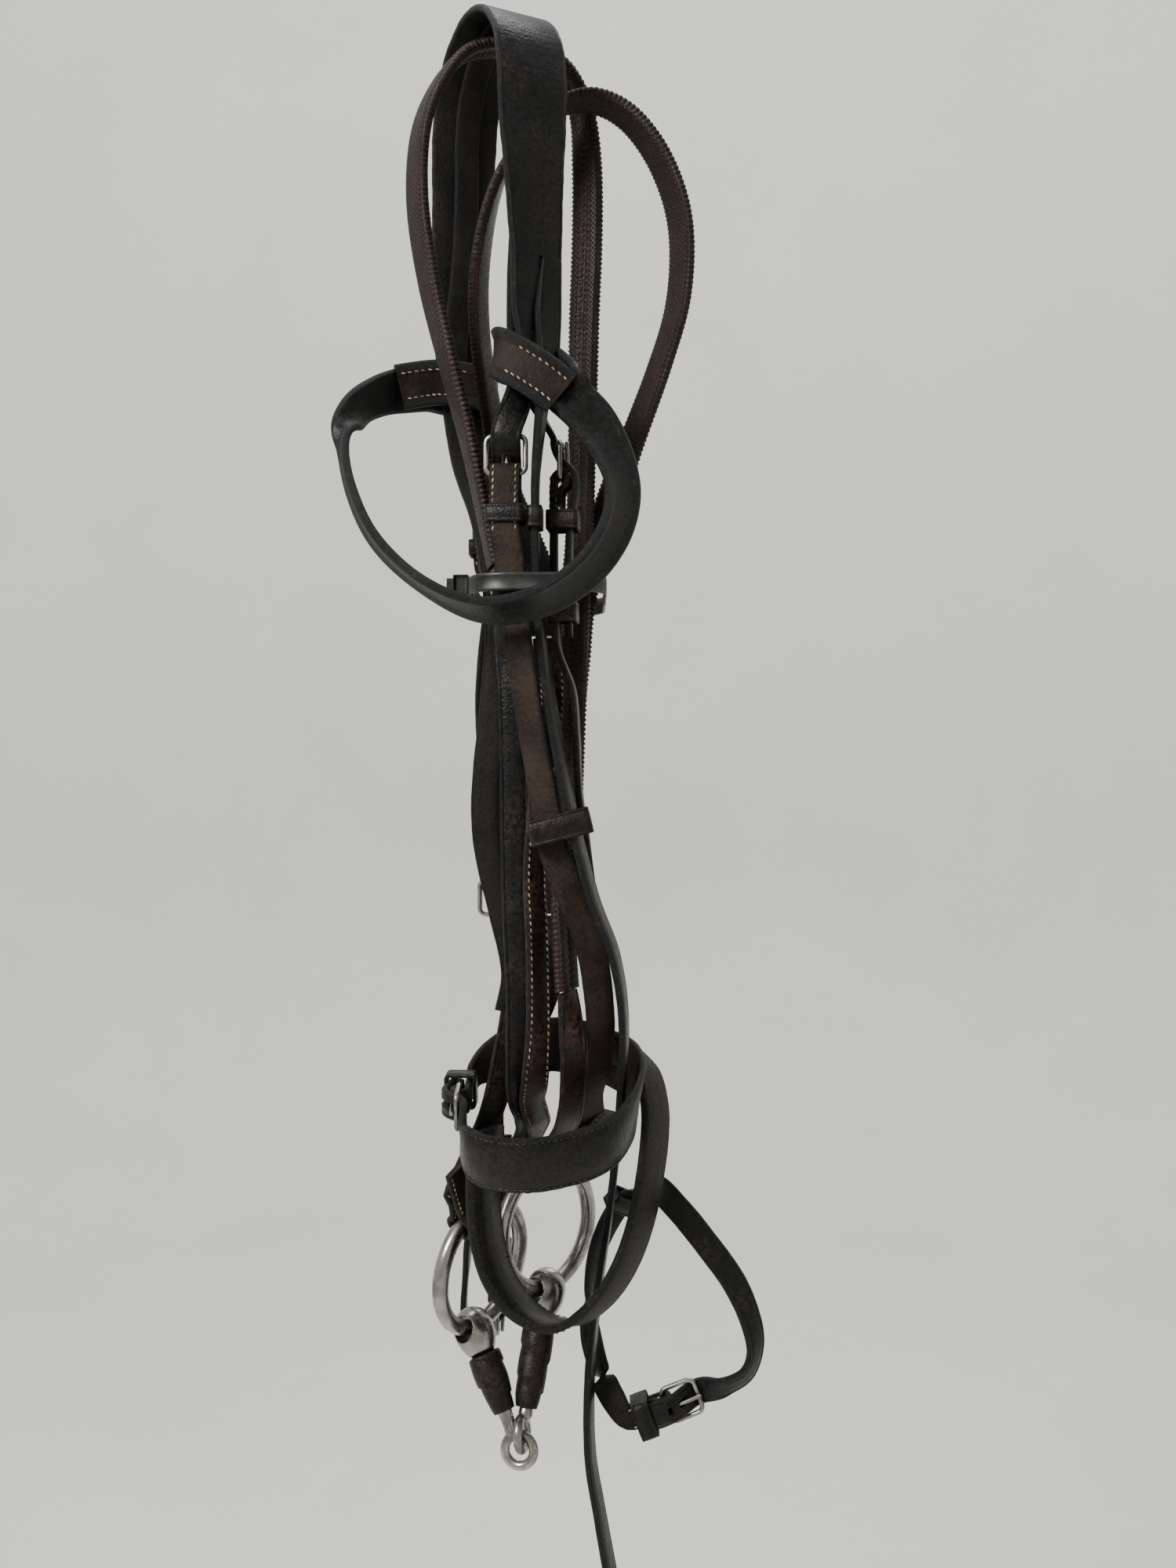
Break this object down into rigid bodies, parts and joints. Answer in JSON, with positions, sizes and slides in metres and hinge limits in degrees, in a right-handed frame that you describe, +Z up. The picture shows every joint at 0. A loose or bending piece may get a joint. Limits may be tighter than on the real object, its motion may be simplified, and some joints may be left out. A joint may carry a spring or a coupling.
{
  "type": "snaffle bridle",
  "caption": "Leather snaffle bridle with flash noseband, rubber-grip reins and jointed loose-ring bit, hung by the crown, reins looped through, bundle tied.",
  "frame": {"origin": "middle of the underside of the crown, where a hook or peg holds the bridle", "axes": "+Z up, +X to the viewer's right, -Y towards a person standing in front"},
  "size_m": [0.2154, 0.1455, 0.7829],
  "materials": {
    "black_leather": "satin",
    "brown_leather": "worn matte",
    "rein_leather": "satin",
    "rein_rubber": "matte",
    "steel": "polished",
    "black_plastic": "satin"
  },
  "bodies": {
    "straps": {"headpiece": "black_leather", "noseband_sliphead": "black_leather", "browband": "black_leather", "cheekpiece_right": "black_leather", "cheekpiece_left": "black_leather", "noseband_cheek_right": "black_leather", "rein_grip_left": "rein_rubber", "rein_grip_right": "rein_rubber", "rein_hand_left": "rein_leather", "rein_hand_right": "rein_leather", "rein_bit_left": "rein_leather", "rein_bit_right": "rein_leather", "noseband_nosepiece": "black_leather", "noseband_jaw_strap": "black_leather", "noseband_jaw_buckle_strap": "black_leather", "flash_strap": "black_leather", "bit_arm_right": "steel", "bit_sleeve_right": "brown_leather", "cheek_right_buckle": "steel", "sliphead_buckle": "steel", "cheek_left_buckle": "steel", "noseband_jaw_buckle": "steel", "flash_buckle": "steel", "rein_buckle": "steel", "cheek_right_fixed_keeper": "black_leather", "sliphead_fixed_keeper": "brown_leather", "cheek_left_fixed_keeper": "black_leather", "flash_tab": "black_leather", "cable_tie_band": "black_plastic", "cable_tie_head": "black_plastic"},
    "ring_left": {"bit_ring_left": "steel"},
    "ring_right": {"bit_ring_right": "steel"},
    "arm_left": {"bit_arm_left": "steel", "bit_sleeve_left": "brown_leather"},
    "cheek_right_tongue": {"cheek_right_tongue": "steel"},
    "sliphead_tongue": {"sliphead_tongue": "steel"},
    "cheek_left_tongue": {"cheek_left_tongue": "steel"},
    "throatlash_buckle": {"throatlash_buckle": "steel"},
    "throatlash_tongue": {"throatlash_tongue": "steel"},
    "noseband_jaw_tongue": {"noseband_jaw_tongue": "steel"},
    "flash_tongue": {"flash_tongue": "steel"},
    "rein_tongue": {"rein_tongue": "steel"},
    "sliphead_sliding_keeper": {"sliphead_sliding_keeper": "brown_leather"},
    "rein_keeper": {"rein_keeper": "rein_leather"},
    "throatlash_keeper": {"throatlash_keeper": "black_leather"},
    "cheek_right_lower_keeper": {"cheek_right_lower_keeper": "brown_leather"},
    "flash_keeper": {"flash_keeper": "black_leather"},
    "noseband_jaw_keeper": {"noseband_jaw_keeper": "black_leather"}
  },
  "joints": [
    {"name": "ring_left_spin", "type": "hinge", "parent": "straps", "child": "ring_left", "pos_m": [-0.00909, 0.024, -0.61081], "axis": [0.8137, -0.5698, -0.1151], "continuous": true},
    {"name": "ring_right_spin", "type": "hinge", "parent": "straps", "child": "ring_right", "pos_m": [0.0235, 0.036, -0.5945], "axis": [0.7314, -0.682, 0], "continuous": true},
    {"name": "bit_fold", "type": "hinge", "parent": "straps", "child": "arm_left", "pos_m": [0.011, 0.007, -0.697], "axis": [0.8137, -0.5698, -0.1151], "range_deg": [-2, 2]},
    {"name": "cheek_right_tongue_lift", "type": "hinge", "parent": "straps", "child": "cheek_right_tongue", "pos_m": [0.0071, -0.043, -0.224], "axis": [-0.995, 0.0995, 0], "range_deg": [0, 35]},
    {"name": "sliphead_tongue_lift", "type": "hinge", "parent": "straps", "child": "sliphead_tongue", "pos_m": [0.0325, -0.026, -0.224], "axis": [0.0896, 0.996, 0], "range_deg": [0, 25]},
    {"name": "cheek_left_tongue_lift", "type": "hinge", "parent": "straps", "child": "cheek_left_tongue", "pos_m": [-0.0076, 0.041, -0.226], "axis": [1, 0, 0], "range_deg": [0, 25]},
    {"name": "throatlash_buckle_swing", "type": "hinge", "parent": "straps", "child": "throatlash_buckle", "pos_m": [-0.001, 0.023, -0.416], "axis": [1, 0, 0], "range_deg": [-8, 35]},
    {"name": "throatlash_tongue_lift", "type": "hinge", "parent": "throatlash_buckle", "child": "throatlash_tongue", "pos_m": [-0.001, 0.023, -0.416], "axis": [1, 0, 0], "range_deg": [0, 25]},
    {"name": "noseband_jaw_tongue_lift", "type": "hinge", "parent": "straps", "child": "noseband_jaw_tongue", "pos_m": [-0.0175, -0.005, -0.521], "axis": [0, 0.1483, -0.9889], "range_deg": [0, 35]},
    {"name": "flash_tongue_lift", "type": "hinge", "parent": "straps", "child": "flash_tongue", "pos_m": [0.084, 0.013, -0.678], "axis": [0.3608, 0.0361, -0.932], "range_deg": [0, 35]},
    {"name": "rein_tongue_lift", "type": "hinge", "parent": "straps", "child": "rein_tongue", "pos_m": [-0.003, 0.06, -0.64], "axis": [0, -1, 0], "range_deg": [0, 25]},
    {"name": "sliphead_sliding_keeper_slide", "type": "slide", "parent": "straps", "child": "sliphead_sliding_keeper", "axis": [0.02, 0, -0.9998], "range_m": [-0.004, 0.004]},
    {"name": "rein_keeper_slide", "type": "slide", "parent": "straps", "child": "rein_keeper", "axis": [0, 0, 1], "range_m": [-0.001, 0.003]},
    {"name": "throatlash_keeper_slide", "type": "slide", "parent": "straps", "child": "throatlash_keeper", "axis": [0, 0, -1], "range_m": [-0.002, 0.003]},
    {"name": "cheek_right_lower_keeper_slide", "type": "slide", "parent": "straps", "child": "cheek_right_lower_keeper", "axis": [0.2425, 0, -0.9701], "range_m": [-0.002, 0.002]},
    {"name": "flash_keeper_slide", "type": "slide", "parent": "straps", "child": "flash_keeper", "axis": [-0.9321, 0.0301, -0.3608], "range_m": [-0.001, 0.001]},
    {"name": "noseband_jaw_keeper_slide", "type": "slide", "parent": "straps", "child": "noseband_jaw_keeper", "axis": [0.0495, 0.9891, 0.1385], "range_m": [-0.001, 0.002]}
  ]
}
